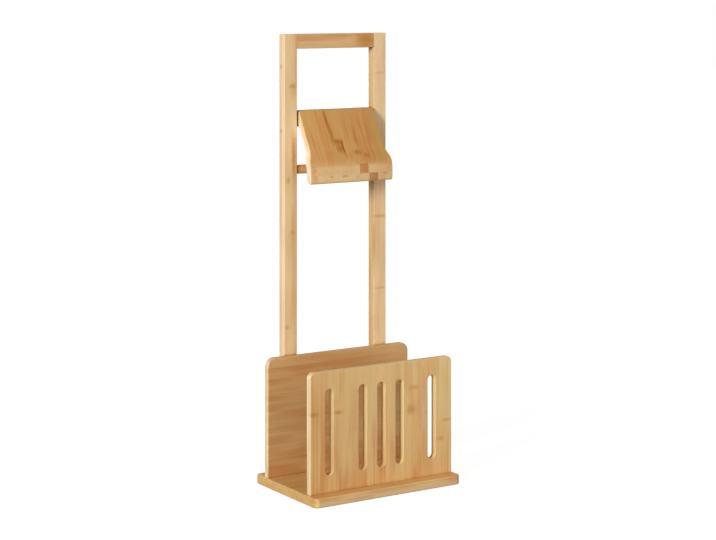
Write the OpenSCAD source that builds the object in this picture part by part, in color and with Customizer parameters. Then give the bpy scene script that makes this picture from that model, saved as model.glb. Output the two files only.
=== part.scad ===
// Bamboo bathroom stand: a slotted rack on a base board, and a frame with a rod under a hinged cover.
// Millimetres, +X to the right along the front, +Y to the back, +Z up.
// The origin is on the floor, under the centre of the base.

/* [Base] */
// Width of the base board
base_w = 300; // [260:5:400]
// Depth of the base board, front to back
base_d = 200; // [170:5:280]
// Thickness of the base board
base_t = 16; // [12:1:24]
// Radius of the base board's corners, seen from above
base_corner_r = 10; // [6:1:25]
// Thickness of the pads under the base
pad_t = 1.5; // [1:0.5:4]
// Diameter of the pads under the base
pad_d = 14; // [8:1:25]
// Distance from the base's edges to the centre of a pad
pad_inset = 20; // [15:1:40]

/* [Rack panels] */
// Height of the front panel above the base
front_panel_h = 205; // [195:1:260]
// Height of the back panel above the base
back_panel_h = 207; // [150:1:260]
// Thickness of both rack panels
panel_t = 12; // [10:1:18]
// Radius of the front panel's top corners
front_corner_r = 10; // [6:1:30]
// Radius of the back panel's top corners
back_corner_r = 15; // [6:1:30]
// Distance from the base's end to the front panel's end
front_inset = 4; // [2:0.5:20]
// Distance from the base's end to the back panel's end
back_inset = 2.5; // [2:0.5:20]
// Distance from the base's front edge to the front panel
front_setback = 23; // [10:1:40]
// Distance from the base's back edge to the frame
rear_margin = 10; // [5:1:30]
// Radius of the rounded edges of the base, the panels and the slots
edge_r = 2; // [1.5:0.5:4.5]

/* [Slots] */
// Width of a slot in the front panel
slot_w = 15; // [8:1:20]
// Height of a slot, over its round ends
slot_l = 145; // [80:1:170]
// Height of the slots' lower ends above the base
slot_rise = 30; // [15:0.5:45]
// Spacing of the three middle slots
slot_pitch = 38; // [32:1:45]
// Distance from the front panel's end to the outer slot's centre
slot_end_margin = 40.5; // [30:0.5:50]
// Distance of the row of slots to the left of the panel's middle
slot_shift = 2.5; // [0:0.5:5]

/* [Frame] */
// Width over the two uprights
frame_w = 214; // [180:1:250]
// Width of an upright, seen from the front
upright_w = 26; // [22:1:35]
// Depth of the uprights and of the top rail
upright_d = 18; // [16:1:25]
// Height of the uprights above the base
upright_h = 770; // [700:5:900]
// Height of the top rail's face
rail_h = 26; // [22:1:40]
// Radius of the uprights' long edges
bar_edge_r = 1; // [0.5:0.5:3]

/* [Cover] */
// Height of the cover bar's top above the base
bar_top_h = 635; // [600:5:680]
// Height of the cover bar's face
bar_h = 28; // [24:1:36]
// Depth of the cover bar
bar_d = 14; // [10:1:16]
// Thickness of the cover board
cover_t = 15; // [12:0.5:18]
// Gap between the cover's ends and the uprights
cover_side_gap = 3; // [2:0.5:8]
// Angle of the cover's slope from the vertical
cover_slope = 28; // [22:1:34]
// Length of the cover's straight slope
cover_slope_l = 66.5; // [50:0.5:80]
// Radius of the hollow between slope and nose
hollow_r = 110; // [60:5:160]
// Angle from the vertical where the hollow turns into the nose
nose_angle = 38; // [35:1:48]
// Radius of the cover's rounded nose
nose_r = 50; // [40:1:60]
// Height of the upright lip below the nose
lip_h = 20; // [12:1:30]
// How much the lip is wider than the slope at each end
lip_flare = 7.5; // [3:0.5:12]
// Radius of the flare's two arcs
flare_r = 30; // [20:1:40]
// Drop from the start of the nose to the middle of the flare
flare_drop = 4; // [0:0.5:8]
// Radius of the lip's lower front edge and corners
lip_edge_r = 3; // [2:0.5:4]
// Radius of the arc that rounds off the lip's back
lip_back_r = 14; // [12:1:18]
// Thickness of the lip at its foot
lip_foot_t = 7.5; // [6:0.5:10]

/* [Holder rod] */
// Diameter of the holder rod
rod_d = 16; // [12:1:20]
// Height of the rod's centre above the base
rod_h = 531; // [515:1:545]
// Length of rod inside the shallow hole
rod_bite = 7.5; // [5:0.5:9]
// Sideways travel that frees the rod from the shallow hole
rod_travel = 9; // [9:0.5:11]
// Length of rod that stays in the deep hole at the end of its travel
rod_stay = 10; // [6:0.5:11]
// Chamfer round the rod's ends
rod_chamfer = 1; // [0.5:0.5:2]

/* [Hinges] */
// Distance between the two hinges' centres
hinge_spacing = 100; // [70:5:110]
// Width of a hinge
hinge_w = 25; // [20:1:32]
// Length of a hinge leaf below its barrel
leaf_l = 17; // [14:1:19]
// Thickness of a hinge leaf
leaf_t = 0.8; // [0.6:0.1:1.2]
// Outer diameter of the hinge barrel
barrel_d = 4; // [3.4:0.2:4.6]
// Diameter of the hinge pin
hinge_pin_d = 2; // [1.4:0.2:2.2]
// Chamfer of the two long edges beside the barrel
hinge_chamfer = 3.5; // [3.5:0.1:4.5]
// Depth of the hinge axis below the cover's top
axis_drop = 0.5; // [0.2:0.1:0.8]

/* [Screws and dowels] */
// Diameter of the screws that hold the panels and the uprights
screw_d = 4; // [3:0.5:5]
// Diameter of those screws' heads
screw_head_d = 8; // [7:0.5:9]
// Depth that the base screws reach into the pieces above
base_screw_reach = 30; // [20:1:40]
// Depth that the frame screws reach into the back panel
frame_screw_reach = 9; // [6:0.5:9.5]
// Diameter of the hinge screws
hinge_screw_d = 2.4; // [2:0.2:3]
// Length of the hinge screws
hinge_screw_l = 9; // [6:0.5:10]
// Diameter of the wooden dowels
dowel_d = 6; // [5:0.5:8]
// Depth of a dowel in each of its two holes
dowel_bite = 14; // [10:1:18]

/* [Clearances] */
// Radial clearance of a running fit
run_gap = 0.05; // [0.02:0.01:0.1]
// Radial clearance of a glued dowel or a driven screw
seat_gap = 0.05; // [0.02:0.01:0.1]
// Gap between the closed cover and the cover bar
cover_gap = 0.3; // [0.2:0.1:0.6]
// Gap between two knuckles of a hinge
knuckle_gap = 0.2; // [0.1:0.05:0.4]

/* [Hidden] */

// Smoothness of round shapes
$fn = 64;
// A cut runs this far past the face that it opens
over = 1;
// How far a rounded edge's circle stands past its face, so that the two cross at a clear angle
round_lift = 0.1;

bamboo = [0.80, 0.62, 0.39];
bamboo_dark = [0.75, 0.56, 0.34];
brass = [0.72, 0.58, 0.30];
steel = [0.70, 0.70, 0.72];
pad_grey = [0.35, 0.35, 0.36];

// Heights
base_z = pad_t;
deck_z = base_z + base_t;
frame_top_z = deck_z + upright_h;
bar_top_z = deck_z + bar_top_h;
rod_z = deck_z + rod_h;

// Depths, from front to back
front_panel_w = base_w - 2 * front_inset;
back_panel_w = base_w - 2 * back_inset;
front_panel_y = -base_d / 2 + front_setback;
upright_y = base_d / 2 - rear_margin - upright_d;
back_panel_y = upright_y - panel_t;
frame_mid_y = upright_y + upright_d / 2;
bar_y = frame_mid_y - bar_d / 2;
cover_y = bar_y - cover_gap;

// Frame
clear_w = frame_w - 2 * upright_w;
upright_x = clear_w / 2 + upright_w / 2;

// Hinge axis, in the middle of the gap between cover and bar
axis_y = bar_y - cover_gap / 2;
axis_z = bar_top_z - axis_drop;

// Cover
cover_w = clear_w - 2 * cover_side_gap;
lip_w = cover_w + 2 * lip_flare;

// Slots, counted from the panel's centre
slot_end_x = front_panel_w / 2 - slot_end_margin;
slot_x = [-slot_end_x, -slot_pitch, 0, slot_pitch, slot_end_x];

// Screws along the panels' feet
panel_screw_x = [-base_w / 3, 0, base_w / 3];
// Heights of the screws that join each upright to the back panel
frame_screw_z = [deck_z + back_panel_h / 4, deck_z + back_panel_h * 3 / 4];
hinge_head_d = 2 * hinge_screw_d;
// A leaf has two screws, spaced by half its width
leaf_screw_dx = hinge_w / 4;
// Two dowels share an end, spaced by half the height of the piece
rail_z = frame_top_z - rail_h;
bar_z = bar_top_z - bar_h;

// A side of a board that is rounded at its two faces: x runs outward, y through the thickness.
module rounded_side(depth, thickness, r) {
    intersection() {
        square([depth, thickness]);
        union() {
            square([depth - r, thickness]);
            translate([0, r])
                square([depth, thickness - 2 * r]);
            for (y = [r, thickness - r])
                translate([depth - r, y])
                    circle(r);
        }
    }
}

// A board lying on z = 0 with rounded corners and rounded edges all round.
module rounded_board(w, d, t, corner_r, r) {
    mid_w = w - 2 * corner_r;
    mid_d = d - 2 * corner_r;
    translate([-mid_w / 2, -mid_d / 2, 0])
        cube([mid_w, mid_d, t]);
    for (side = [0, 1])
        rotate([0, 0, 180 * side]) {
            translate([mid_w / 2, mid_d / 2, 0])
                rotate([90, 0, 0])
                    linear_extrude(mid_d)
                        rounded_side(corner_r, t, r);
            translate([-mid_w / 2, mid_d / 2, 0])
                rotate([90, 0, 90])
                    linear_extrude(mid_w)
                        rounded_side(corner_r, t, r);
            translate([mid_w / 2, mid_d / 2, 0])
                rotate_extrude(angle = 90)
                    rounded_side(corner_r, t, r);
            translate([mid_w / 2, -mid_d / 2, 0])
                rotate([0, 0, -90])
                    rotate_extrude(angle = 90)
                        rounded_side(corner_r, t, r);
        }
}

// A panel lying on z = 0: its foot is square at y = 0, and its sides, top and top corners are round.
module rounded_panel(w, h, t, corner_r, r) {
    mid_w = w - 2 * corner_r;
    straight_h = h - corner_r;
    translate([-mid_w / 2, 0, 0])
        cube([mid_w, straight_h, t]);
    translate([mid_w / 2, straight_h, 0])
        rotate([90, 0, 0])
            linear_extrude(straight_h)
                rounded_side(corner_r, t, r);
    translate([-mid_w / 2, 0, 0])
        rotate([90, 0, 180])
            linear_extrude(straight_h)
                rounded_side(corner_r, t, r);
    translate([-mid_w / 2, straight_h, 0])
        rotate([90, 0, 90])
            linear_extrude(mid_w)
                rounded_side(corner_r, t, r);
    translate([mid_w / 2, straight_h, 0])
        rotate_extrude(angle = 90)
            rounded_side(corner_r, t, r);
    translate([-mid_w / 2, straight_h, 0])
        rotate([0, 0, 90])
            rotate_extrude(angle = 90)
                rounded_side(corner_r, t, r);
}

// Section of a bar with four rounded edges, centred.
module rounded_section(w, d, r) {
    square([w - 2 * r, d], center = true);
    square([w, d - 2 * r], center = true);
    for (x = [-1, 1], y = [-1, 1])
        translate([x * (w / 2 - r), y * (d / 2 - r)])
            circle(r);
}

// Section of the cut that rounds a slot's rim: x runs out from the slot's middle, y into the panel.
module rim_cut(half_w, r) {
    difference() {
        translate([0, -over])
            square([half_w + r, r + over]);
        translate([half_w + r, r - round_lift])
            circle(r);
    }
}

// One slot with round ends and a rounded rim, along +y from the origin, cut down from z = t.
module slot_cut(w, l, t, r) {
    straight = l - w;
    translate([0, w / 2, 0]) {
        translate([-w / 2, 0, -over])
            cube([w, straight, t + 2 * over]);
        for (y = [0, straight])
            translate([0, y, -over])
                cylinder(h = t + 2 * over, d = w);
        for (face = [0, 1])
            translate([0, 0, face * t])
                mirror([0, 0, face]) {
                    for (side = [0, 1])
                        mirror([side, 0, 0])
                            translate([0, straight, 0])
                                rotate([90, 0, 0])
                                    linear_extrude(straight)
                                        rim_cut(w / 2, r);
                    translate([0, straight, 0])
                        rotate_extrude(angle = 180)
                            rim_cut(w / 2, r);
                    rotate([0, 0, 180])
                        rotate_extrude(angle = 180)
                            rim_cut(w / 2, r);
                }
    }
}

// Countersunk screw along +z with its head's flat face at z = 0.
module screw(head_d, d, length) {
    cylinder(h = (head_d - d) / 2, d1 = head_d, d2 = d);
    cylinder(h = length, d = d);
}

// Hole for such a screw, open below z = 0.
module screw_hole(head_d, d, length) {
    cone_h = (head_d - d) / 2;
    translate([0, 0, -over])
        cylinder(h = over, d = head_d + 2 * seat_gap);
    cylinder(h = cone_h, d1 = head_d + 2 * seat_gap, d2 = d + 2 * seat_gap);
    cylinder(h = length + seat_gap, d = d + 2 * seat_gap);
}

// Places of the base's screws: under the front panel, the back panel and the uprights.
module at_front_panel_screws() {
    for (x = panel_screw_x)
        translate([x, front_panel_y + panel_t / 2, base_z])
            children();
}

module at_back_panel_screws() {
    for (x = panel_screw_x)
        translate([x, back_panel_y + panel_t / 2, base_z])
            children();
}

module at_upright_foot_screws() {
    for (x = [-upright_x, upright_x])
        translate([x, frame_mid_y, base_z])
            children();
}

module base_screw() {
    screw(screw_head_d, screw_d, base_t + base_screw_reach);
}

module base_screw_hole() {
    screw_hole(screw_head_d, screw_d, base_t + base_screw_reach);
}

// Places of the screws that go forward through the uprights into the back panel.
module at_upright_panel_screws() {
    for (x = [-upright_x, upright_x], z = frame_screw_z)
        translate([x, upright_y + upright_d, z])
            rotate([90, 0, 0])
                children();
}

// Places of the dowels in the ends of a crosspiece, along +x.
module at_dowels(z, h) {
    for (x = [-clear_w / 2, clear_w / 2], dz = [h / 4, h * 3 / 4])
        translate([x, frame_mid_y, z + dz])
            rotate([0, 90, 0])
                children();
}

module dowel() {
    cylinder(h = 2 * dowel_bite, d = dowel_d, center = true);
}

module dowel_hole() {
    cylinder(h = 2 * (dowel_bite + seat_gap), d = dowel_d + 2 * seat_gap, center = true);
}

module dowel_holes() {
    at_dowels(rail_z, rail_h)
        dowel_hole();
    at_dowels(bar_z, bar_h)
        dowel_hole();
}

module base_board() {
    color(bamboo)
        difference() {
            translate([0, 0, base_z])
                rounded_board(base_w, base_d, base_t, base_corner_r, edge_r);
            at_front_panel_screws()
                base_screw_hole();
            at_back_panel_screws()
                base_screw_hole();
            at_upright_foot_screws()
                base_screw_hole();
        }
}

module front_panel() {
    color(bamboo)
        difference() {
            translate([0, front_panel_y + panel_t, deck_z])
                rotate([90, 0, 0])
                    difference() {
                        rounded_panel(front_panel_w, front_panel_h, panel_t, front_corner_r, edge_r);
                        for (x = slot_x)
                            translate([x - slot_shift, slot_rise, 0])
                                slot_cut(slot_w, slot_l, panel_t, edge_r);
                    }
            at_front_panel_screws()
                base_screw_hole();
        }
}

module back_panel() {
    color(bamboo)
        difference() {
            translate([0, back_panel_y + panel_t, deck_z])
                rotate([90, 0, 0])
                    rounded_panel(back_panel_w, back_panel_h, panel_t, back_corner_r, edge_r);
            at_back_panel_screws()
                base_screw_hole();
            at_upright_panel_screws()
                screw_hole(screw_head_d, screw_d, upright_d + frame_screw_reach);
        }
}

// Both uprights' bodies and holes, without the rod's holes.
module upright(side) {
    difference() {
        translate([side * upright_x, frame_mid_y, deck_z])
            linear_extrude(upright_h)
                rounded_section(upright_w, upright_d, bar_edge_r);
        dowel_holes();
        at_upright_foot_screws()
            base_screw_hole();
        at_upright_panel_screws()
            screw_hole(screw_head_d, screw_d, upright_d + frame_screw_reach);
    }
}

// A blind hole for the rod in an upright's inner face.
module rod_hole(side, depth) {
    translate([side * (clear_w / 2 - over), frame_mid_y, rod_z])
        rotate([0, side * 90, 0])
            cylinder(h = depth + over, d = rod_d + 2 * run_gap);
}

module left_upright() {
    color(bamboo)
        difference() {
            upright(-1);
            rod_hole(-1, rod_bite + run_gap);
        }
}

module right_upright() {
    color(bamboo)
        difference() {
            upright(1);
            rod_hole(1, rod_stay + rod_travel + run_gap);
        }
}

// A crosspiece between the uprights with its grain along x.
module crosspiece(z, h, d) {
    difference() {
        translate([-clear_w / 2, frame_mid_y, z + h / 2])
            rotate([90, 0, 90])
                linear_extrude(clear_w)
                    rounded_section(d, h, bar_edge_r);
        dowel_holes();
    }
}

module top_rail() {
    color(bamboo_dark)
        crosspiece(rail_z, rail_h, upright_d);
}

// Wedge that chamfers a top edge beside the hinge barrels; side is -1 for the cover and 1 for the bar.
module barrel_groove(side, w) {
    face_y = side < 0 ? cover_y : bar_y;
    translate([0, face_y, bar_top_z])
        rotate([90, 0, 90])
            linear_extrude(w + 2 * over, center = true)
                polygon([
                    [-side * over, over],
                    [side * (hinge_chamfer + over), over],
                    [-side * over, -hinge_chamfer - over]
                ]);
}

// Shallow pocket that takes one hinge leaf.
module leaf_pocket(side) {
    face_y = side < 0 ? cover_y - leaf_t : bar_y;
    for (x = [-hinge_spacing / 2, hinge_spacing / 2])
        translate([x - hinge_w / 2 - seat_gap, face_y, axis_z - leaf_l - seat_gap])
            cube([hinge_w + 2 * seat_gap, leaf_t, leaf_l + hinge_chamfer]);
}

// Places of a leaf's two screws for one hinge; the screws point away from the gap.
module at_leaf_screws(side) {
    face_y = side < 0 ? cover_y : bar_y;
    for (dx = [-leaf_screw_dx, leaf_screw_dx])
        translate([dx, face_y, axis_z - leaf_l * 2 / 3])
            rotate([-side * 90, 0, 0])
                children();
}

module leaf_screw_holes(side) {
    for (x = [-hinge_spacing / 2, hinge_spacing / 2])
        translate([x, 0, 0])
            at_leaf_screws(side)
                screw_hole(hinge_head_d, hinge_screw_d, hinge_screw_l);
}

module cover_bar() {
    color(bamboo_dark)
        difference() {
            crosspiece(bar_z, bar_h, bar_d);
            barrel_groove(1, clear_w);
            leaf_pocket(1);
            leaf_screw_holes(1);
        }
}

// Cover profile: a heading of 0 points straight down, and it turns forward as it grows.
function ahead(p, heading, l) = [p[0] - l * sin(heading), p[1] - l * cos(heading)];

// Point after an arc of radius r from heading a to heading b, starting at p.
function after_arc(p, a, b, r) =
    let (turn = b > a ? 1 : -1)
    [p[0] + turn * r * (cos(b) - cos(a)), p[1] - turn * r * (sin(b) - sin(a))];

slope_top = [cover_y - hinge_chamfer, bar_top_z];
slope_end = ahead(slope_top, cover_slope, cover_slope_l);
nose_start = after_arc(slope_end, cover_slope, nose_angle, hollow_r);
lip_top = after_arc(nose_start, nose_angle, 0, nose_r);
lip_foot_z = lip_top[1] - lip_h;
// Height over the flare's two arcs, and the height at which they end
flare_h = sqrt(4 * flare_r * lip_flare - lip_flare * lip_flare);
flare_z = nose_start[1] - flare_drop - flare_h / 2;

// Number of flat strips in each arc of the cover
arc_steps = 12;

// Points of the cover's face, moved back by t square to the face.
function face_points(t) = concat(
    [slope_top + t * [cos(cover_slope), -sin(cover_slope)]],
    [for (i = [0:arc_steps])
        let (a = cover_slope + (nose_angle - cover_slope) * i / arc_steps)
        after_arc(slope_end, cover_slope, a, hollow_r) + t * [cos(a), -sin(a)]],
    [for (i = [1:arc_steps])
        let (a = nose_angle * (1 - i / arc_steps))
        after_arc(nose_start, nose_angle, a, nose_r) + t * [cos(a), -sin(a)]]
);

// Angle of the arc that rounds off the lip's back, up from its foot
lip_back_angle = acos((lip_foot_t - cover_t + lip_back_r) / lip_back_r);

// Rounded foot of the lip, from its front face round to its back face.
function foot_points() = [
    for (i = [0:arc_steps])
        let (a = 180 + 90 * i / arc_steps)
        [lip_top[0] + lip_edge_r * (1 + cos(a)), lip_foot_z + lip_edge_r * (1 + sin(a))],
    for (i = [0:arc_steps])
        let (a = lip_back_angle * (1 - i / arc_steps))
        [
            lip_top[0] + cover_t - lip_back_r * (1 - cos(a)),
            lip_foot_z + lip_back_r * (sin(lip_back_angle) - sin(a))
        ]
];

function reversed(list) = [for (i = [len(list) - 1:-1:0]) list[i]];

// Section of the cover board, before its rear end is cut square.
module cover_section() {
    rear_run = cover_t / sin(cover_slope) + hinge_chamfer;
    polygon(concat(
        [slope_top],
        face_points(0),
        foot_points(),
        reversed(face_points(cover_t)),
        [slope_top + [rear_run * cos(cover_slope), -rear_run * sin(cover_slope)]]
    ));
}

// The cover's outline seen from the front: narrow slope, two flare arcs and a wide lip at each side.
flare_angle = 2 * atan(lip_flare / flare_h);
half_outline = concat(
    [[cover_w / 2, bar_top_z + over]],
    [for (i = [0:arc_steps])
        let (a = flare_angle * i / arc_steps)
        [cover_w / 2 + flare_r * (1 - cos(a)), flare_z + flare_h - flare_r * sin(a)]],
    [for (i = [arc_steps - 1:-1:0])
        let (a = flare_angle * i / arc_steps)
        [lip_w / 2 - flare_r * (1 - cos(a)), flare_z + flare_r * sin(a)]],
    [for (i = [0:arc_steps])
        let (a = 90 * i / arc_steps)
        [lip_w / 2 - lip_edge_r * (1 - cos(a)), lip_foot_z + lip_edge_r * (1 - sin(a))]]
);

module cover() {
    reach = cover_y - lip_top[0] + over;
    color(bamboo_dark)
        difference() {
            intersection() {
                rotate([90, 0, 90])
                    linear_extrude(lip_w + 2 * over, center = true)
                        cover_section();
                translate([0, cover_y, 0])
                    rotate([90, 0, 0])
                        linear_extrude(reach)
                            polygon(concat(half_outline, reversed([for (p = half_outline) [-p[0], p[1]]])));
            }
            barrel_groove(-1, lip_w);
            leaf_pocket(-1);
            leaf_screw_holes(-1);
        }
}

module holder_rod() {
    length = clear_w + rod_bite + rod_stay;
    color(bamboo)
        translate([-clear_w / 2 - rod_bite, frame_mid_y, rod_z])
            rotate([0, 90, 0]) {
                translate([0, 0, rod_chamfer])
                    cylinder(h = length - 2 * rod_chamfer, d = rod_d);
                cylinder(h = rod_chamfer, d1 = rod_d - 2 * rod_chamfer, d2 = rod_d);
                translate([0, 0, length - rod_chamfer])
                    cylinder(h = rod_chamfer, d1 = rod_d, d2 = rod_d - 2 * rod_chamfer);
            }
}

// The bar leaf carries the two outer knuckles, and the cover leaf the middle one.
knuckle_w = (hinge_w - 2 * knuckle_gap) / 3;
knuckle_pitch = knuckle_w + knuckle_gap;

// One knuckle with its bore, centred at x = 0 on the hinge axis.
module knuckle(bore_gap) {
    rotate([0, 90, 0])
        difference() {
            cylinder(h = knuckle_w, d = barrel_d, center = true);
            cylinder(h = knuckle_w + 2 * over, d = hinge_pin_d + 2 * bore_gap, center = true);
        }
}

// The strip that joins a knuckle to its leaf, without the bore.
module knuckle_root(side) {
    face_y = side < 0 ? -cover_gap / 2 - leaf_t : cover_gap / 2;
    difference() {
        translate([-knuckle_w / 2, face_y, -barrel_d])
            cube([knuckle_w, leaf_t, barrel_d]);
        rotate([0, 90, 0])
            cylinder(h = knuckle_w + 2 * over, d = barrel_d - leaf_t, center = true);
    }
}

// A hinge leaf round the origin of the hinge axis; side is -1 for the cover and 1 for the bar.
module hinge_leaf(side, knuckle_x, bore_gap) {
    face_y = side < 0 ? -cover_gap / 2 - leaf_t : cover_gap / 2;
    leaf_top = -barrel_d / 2 - knuckle_gap;
    difference() {
        translate([-hinge_w / 2, face_y, -leaf_l])
            cube([hinge_w, leaf_t, leaf_l + leaf_top]);
        translate([0, -axis_y, -axis_z])
            at_leaf_screws(side)
                screw_hole(hinge_head_d, hinge_screw_d, hinge_screw_l);
    }
    for (x = knuckle_x)
        translate([x, 0, 0]) {
            knuckle(bore_gap);
            knuckle_root(side);
        }
}

module bar_leaf(x) {
    color(brass)
        translate([x, axis_y, axis_z])
            hinge_leaf(1, [-knuckle_pitch, knuckle_pitch], seat_gap);
}

module cover_leaf(x) {
    color(brass)
        translate([x, axis_y, axis_z])
            hinge_leaf(-1, [0], run_gap);
}

module left_hinge_bar_leaf() {
    bar_leaf(-hinge_spacing / 2);
}

module right_hinge_bar_leaf() {
    bar_leaf(hinge_spacing / 2);
}

module left_hinge_cover_leaf() {
    cover_leaf(-hinge_spacing / 2);
}

module right_hinge_cover_leaf() {
    cover_leaf(hinge_spacing / 2);
}

module hinge_pins() {
    color(steel)
        for (x = [-hinge_spacing / 2, hinge_spacing / 2])
            translate([x, axis_y, axis_z])
                rotate([0, 90, 0])
                    cylinder(h = hinge_w, d = hinge_pin_d, center = true);
}

module leaf_screws(side) {
    color(steel)
        for (x = [-hinge_spacing / 2, hinge_spacing / 2])
            translate([x, 0, 0])
                at_leaf_screws(side)
                    screw(hinge_head_d, hinge_screw_d, hinge_screw_l);
}

module bar_leaf_screws() {
    leaf_screws(1);
}

module cover_leaf_screws() {
    leaf_screws(-1);
}

module rail_dowels() {
    color(bamboo)
        at_dowels(rail_z, rail_h)
            dowel();
}

module bar_dowels() {
    color(bamboo)
        at_dowels(bar_z, bar_h)
            dowel();
}

module front_panel_screws() {
    color(steel)
        at_front_panel_screws()
            base_screw();
}

module back_panel_screws() {
    color(steel)
        at_back_panel_screws()
            base_screw();
}

module upright_foot_screws() {
    color(steel)
        at_upright_foot_screws()
            base_screw();
}

module upright_panel_screws() {
    color(steel)
        at_upright_panel_screws()
            screw(screw_head_d, screw_d, upright_d + frame_screw_reach);
}

module foot_pads() {
    color(pad_grey)
        for (x = [-1, 1], y = [-1, 1])
            translate([x * (base_w / 2 - pad_inset), y * (base_d / 2 - pad_inset), 0])
                cylinder(h = pad_t, d = pad_d);
}

base_board();
front_panel();
back_panel();
left_upright();
right_upright();
top_rail();
cover_bar();
cover();
holder_rod();
left_hinge_bar_leaf();
right_hinge_bar_leaf();
left_hinge_cover_leaf();
right_hinge_cover_leaf();
hinge_pins();
bar_leaf_screws();
cover_leaf_screws();
rail_dowels();
bar_dowels();
front_panel_screws();
back_panel_screws();
upright_foot_screws();
upright_panel_screws();
foot_pads();
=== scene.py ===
"""The looks of a bamboo bathroom stand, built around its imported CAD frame.

Metres, in the frame of the CAD: +X to the right along the front, +Y to the back, +Z up.
"""

import math

import bmesh
import bpy
from mathutils import Matrix, Vector


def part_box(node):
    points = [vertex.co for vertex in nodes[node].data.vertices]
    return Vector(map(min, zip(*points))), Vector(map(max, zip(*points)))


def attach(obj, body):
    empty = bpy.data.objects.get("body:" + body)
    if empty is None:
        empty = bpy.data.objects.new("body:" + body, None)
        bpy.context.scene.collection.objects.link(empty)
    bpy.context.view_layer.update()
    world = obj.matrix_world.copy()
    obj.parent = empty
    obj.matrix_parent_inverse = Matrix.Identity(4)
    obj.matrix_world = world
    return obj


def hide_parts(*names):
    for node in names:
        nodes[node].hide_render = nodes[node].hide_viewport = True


MM = 0.001

# Directions of the frame
RIGHT = Vector((1, 0, 0))
LEFT = -RIGHT
BACK = Vector((0, 1, 0))
FRONT = -BACK
UP = Vector((0, 0, 1))
DOWN = -UP

# The photograph's size in pixels, and the camera that was fitted to it
PHOTO_W = 716
PHOTO_H = 540
FOCAL_PX = 1887.87
AXIS_PX = (336.87, -12.26)
CAMERA_AT = (-1.806, -2.768, 0.869)
CAMERA_HEADING = math.radians(32.48)
CAMERA_REACH = 100
SENSOR = 36.0

# The lamps: name, the direction that each shines from, energy, and width in degrees
LAMPS = (
    ("key", (-0.905, -0.375, 0.20), 2.9, 14),
    ("fill", (-0.10, -0.98, 0.12), 0.62, 60),
    ("back", (0.12, 0.96, 0.20), 0.9, 40),
)

# Strength of the world where it lights the object, at its weakest and at its strongest
WORLD_LOW = 0.16
WORLD_HIGH = 0.62

# Where the world is strongest, and the cosines to that direction between which its strength rises
WORLD_TOWARDS = Vector((-0.42, -0.90, -0.05)).normalized()
WORLD_EASE = (-0.3, 1.0)

# The colour of the world and of the floor's glow
WHITE = (1, 1, 1, 1)

# The floor's reach, and its grey where it lights the object
FLOOR_REACH = 12.0
FLOOR_LIT = (0.45, 0.45, 0.45, 1)

# The floor's grey and the strength of its glow where it is seen, which together make it look white
FLOOR_SEEN = (0.40, 0.40, 0.40, 1)
FLOOR_GLOW = 0.84

# The cover board's form
COVER_T = 15 * MM
COVER_SLOPE = math.radians(28)
COVER_SLOPE_L = 66.5 * MM
HOLLOW_R = 110 * MM
NOSE_ANGLE = math.radians(38)
NOSE_R = 50 * MM
LIP_H = 20 * MM
LIP_FLARE = 7.5 * MM
FLARE_R = 30 * MM
FLARE_DROP = 4 * MM
LIP_EDGE_R = 3 * MM
LIP_BACK_R = 14 * MM
LIP_FOOT_T = 7.5 * MM
COVER_ARRIS_R = 0.8 * MM
HINGE_CHAMFER = 3.5 * MM

# How far down the cover its square rear end still turns the rows of its mesh
REAR_RUN = 24 * MM

# Steps of the cover's mesh from the rear end to the foot, round an arris, and through the thickness
REAR_STEPS = 8
SLOPE_STEPS = 6
HOLLOW_STEPS = 10
NOSE_STEPS = 24
LIP_STEPS = 12
FOOT_STEPS = 10
ARRIS_STEPS = 5
THROUGH_STEPS = 6

# Thickness of a hinge leaf, and the clearance round it in its pocket
LEAF_T = 0.8 * MM
SEAT_GAP = 0.05 * MM

# A screw's head in shares of its radius: its flat top, bevel and rim, and the cross recess
HEAD_FLAT = 0.93
HEAD_BEVEL = 0.05
HEAD_RIM = 0.10
CROSS_L = 0.60
CROSS_T = 0.13
CROSS_DEPTH = 0.50
CROSS_TAPER = 0.6
SCREW_STEPS = 40

# The angle by which each screw is turned further than the one before
SCREW_TURN = 1.9


def srgb(red, green, blue):
    """A colour given as 0 to 255 in sRGB, as the linear colour that Blender works with."""
    def linear(value):
        value = value / 255
        return value / 12.92 if value <= 0.04045 else ((value + 0.055) / 1.055) ** 2.4
    return (linear(red), linear(green), linear(blue), 1.0)


# The colours of bamboo, which every strip takes between two of: olive, plain and orange
OLIVE = srgb(206, 173, 113)
PLAIN = srgb(216, 176, 122)
ORANGE = srgb(208, 146, 84)

# The colours of its palest places, and of its joints, its darkest streaks and the painted shade in its
# corners
PALE = srgb(255, 244, 214)
JOINT_AND_SHADE_BROWN = srgb(140, 76, 22)

# The noises of the grain: waves per metre along it and across it, detail, roughness
BROAD_STREAKS = (2.6, 210.0, 2.0, 0.6)
FINE_STREAKS = (14.0, 1000.0, 2.0, 0.6)
DRIFT = (9.0, 30.0, 1.0, 0.5)
ROUGH_EDGE = (220.0, 420.0, 1.0, 0.5)

# How far chance moves a strip's streaks within their noise
STREAK_SHIFT = 40.0

# How far the streaks and the drift move the tone
TONE_SWING = 0.7

# How fast the colour turns darker along a lean against how fast it turns warmer
LEAN_DARK = 0.5

# How much darker a strip is by chance, and towards its denser side
STRIP_DARK = 0.16
SIDE_DARK = 0.14

# How much darker a cane joint, a glue line, a streak and the painted shade in a corner are at most
CANE_DARK = 0.5
GLUE_DARK = 0.14
STREAK_DARK = 0.20
CORNER_SHADE_DARK = 0.45

# The values of their noise between which glue lines, fine and broad streaks grow from nil to full
GLUE_EASE = (0.40, 0.62)
FINE_EASE = (0.45, 0.85)
BROAD_EASE = (0.54, 0.80)

# The cane's joints along a strip: their spacing, how many spacings chance moves them, and their wander
CANE_GAP = 330 * MM
CANE_SHIFT = 7.0
CANE_WANDER = 6 * MM

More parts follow.
